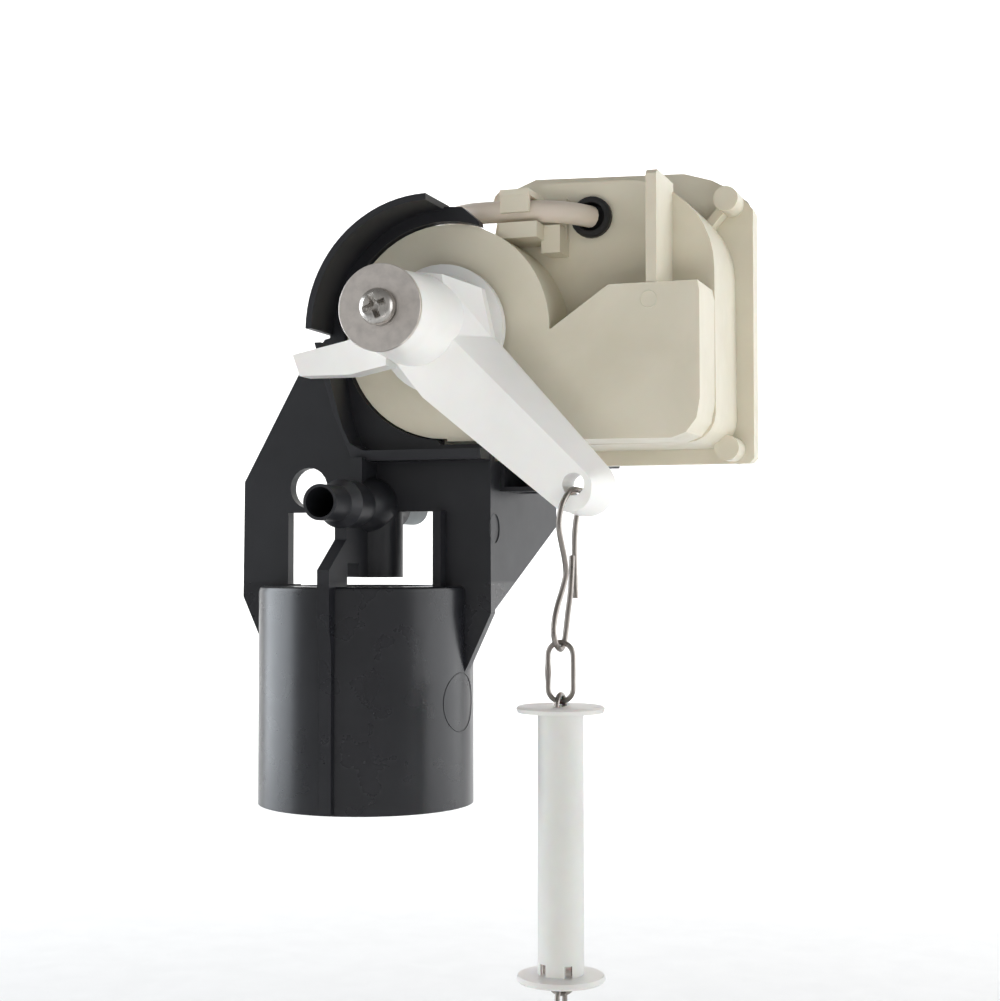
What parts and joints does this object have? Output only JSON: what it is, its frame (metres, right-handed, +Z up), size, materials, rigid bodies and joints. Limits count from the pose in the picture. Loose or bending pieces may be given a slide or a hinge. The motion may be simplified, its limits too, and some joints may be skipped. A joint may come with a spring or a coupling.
{
  "type": "cistern flush actuator",
  "caption": "Motorised toilet flush actuator: black sleeve bracket with refill elbow, cream gearmotor housing, white lifting arm, wire hook, chain with bobbin float and coiled lead.",
  "frame": {"origin": "centre of the sleeve's lower mouth, where the part slips over the overflow pipe", "axes": "+Z up the pipe, +Y to the back of the cistern, +X to the housing's side; the arm's shaft is parallel to Y"},
  "size_m": [0.1036, 0.0981, 0.2054],
  "materials": {
    "black_plastic": "moulded, slight sheen",
    "cream_plastic": "moulded, satin",
    "white_plastic": "moulded, satin gloss",
    "float_plastic": "moulded, slightly translucent",
    "stainless_steel": "bright drawn or pressed",
    "motor_steel": "zinc plated",
    "rubber": "matte",
    "grey_rubber": "satin",
    "lead_jacket": "satin jacket",
    "connector_plastic": "moulded",
    "gear_acetal": "smooth acetal",
    "brass": "machined",
    "bronze": "sintered",
    "circuit_board": "solder mask"
  },
  "bodies": {
    "housing": {"mounting_bracket": "black_plastic", "refill_port_plug": "grey_rubber", "gear_case": "cream_plastic", "back_cover": "cream_plastic", "cover_gasket": "rubber", "cover_screw_1": "stainless_steel", "cover_screw_2": "stainless_steel", "cover_screw_3": "stainless_steel", "cover_screw_4": "stainless_steel", "bracket_screw_1": "stainless_steel", "bracket_screw_2": "stainless_steel", "cable_grommet": "rubber", "gear_plate": "stainless_steel", "second_axle": "stainless_steel", "first_axle": "stainless_steel", "motor_can": "motor_steel", "motor_end_cap": "black_plastic", "control_board": "circuit_board", "limit_switch": "black_plastic", "shaft_bushing": "bronze", "shaft_seal": "rubber", "power_lead": "lead_jacket", "lead_coil": "lead_jacket", "lead_tail": "lead_jacket", "lead_tie": "black_plastic", "lead_connector": "connector_plastic"},
    "arm": {"lever_arm": "white_plastic", "output_shaft": "stainless_steel", "arm_washer": "stainless_steel", "arm_screw": "stainless_steel", "output_gear": "gear_acetal", "position_cam": "gear_acetal"},
    "second_gear": {"second_gear": "gear_acetal"},
    "first_gear": {"first_gear": "gear_acetal"},
    "motor_rotor": {"motor_pinion": "brass"},
    "hook": {"wire_hook": "stainless_steel"},
    "first_link": {"chain_link_1": "stainless_steel"},
    "float": {"float_tube": "float_plastic", "chain_link_2": "stainless_steel", "chain_link_3": "stainless_steel", "chain_link_4": "stainless_steel", "chain_link_5": "stainless_steel", "chain_link_6": "stainless_steel", "chain_link_7": "stainless_steel"},
    "eighth_link": {"chain_link_8": "stainless_steel"},
    "ninth_link": {"chain_link_9": "stainless_steel"},
    "end_hook": {"end_hook": "stainless_steel"}
  },
  "joints": [
    {"name": "arm_swing", "type": "hinge", "parent": "housing", "child": "arm", "pos_m": [0.0178, 0, 0.0981], "axis": [0, -1, 0], "range_deg": [0, 55]},
    {"name": "second_gear_spin", "type": "hinge", "parent": "housing", "child": "second_gear", "pos_m": [0.03484, 0, 0.08617], "axis": [0, -1, 0], "range_deg": [-186, 3]},
    {"name": "first_gear_spin", "type": "hinge", "parent": "housing", "child": "first_gear", "pos_m": [0.0448, 0, 0.08704], "axis": [0, -1, 0], "range_deg": [-8, 558]},
    {"name": "motor_spin", "type": "hinge", "parent": "housing", "child": "motor_rotor", "pos_m": [0.05432, 0, 0.09148], "axis": [0, -1, 0], "range_deg": [-1785, 25]},
    {"name": "hook_swing", "type": "hinge", "parent": "arm", "child": "hook", "pos_m": [0.0503, -0.014, 0.0639], "axis": [0, -1, 0], "range_deg": [-58, 5]},
    {"name": "first_link_swing", "type": "hinge", "parent": "hook", "child": "first_link", "pos_m": [0.048, -0.0178, 0.03408], "axis": [0, -1, 0], "range_deg": [-25, 25]},
    {"name": "float_swing", "type": "hinge", "parent": "first_link", "child": "float", "pos_m": [0.048, -0.0178, 0.02413], "axis": [1, 0, 0], "range_deg": [-25, 25]},
    {"name": "eighth_link_swing", "type": "hinge", "parent": "float", "child": "eighth_link", "pos_m": [0.048, -0.0178, -0.03107], "axis": [1, 0, 0], "range_deg": [-25, 25]},
    {"name": "ninth_link_swing", "type": "hinge", "parent": "eighth_link", "child": "ninth_link", "pos_m": [0.048, -0.0178, -0.04027], "axis": [0, -1, 0], "range_deg": [-35, 35]},
    {"name": "end_hook_swing", "type": "hinge", "parent": "ninth_link", "child": "end_hook", "pos_m": [0.048, -0.0178, -0.04947], "axis": [1, 0, 0], "range_deg": [-35, 35]}
  ],
  "couplings": [
    {"joint": "second_gear_spin", "follows": "arm_swing", "ratio": -3.3333},
    {"joint": "first_gear_spin", "follows": "arm_swing", "ratio": 10},
    {"joint": "motor_spin", "follows": "arm_swing", "ratio": -32},
    {"joint": "hook_swing", "follows": "arm_swing", "ratio": -1}
  ]
}
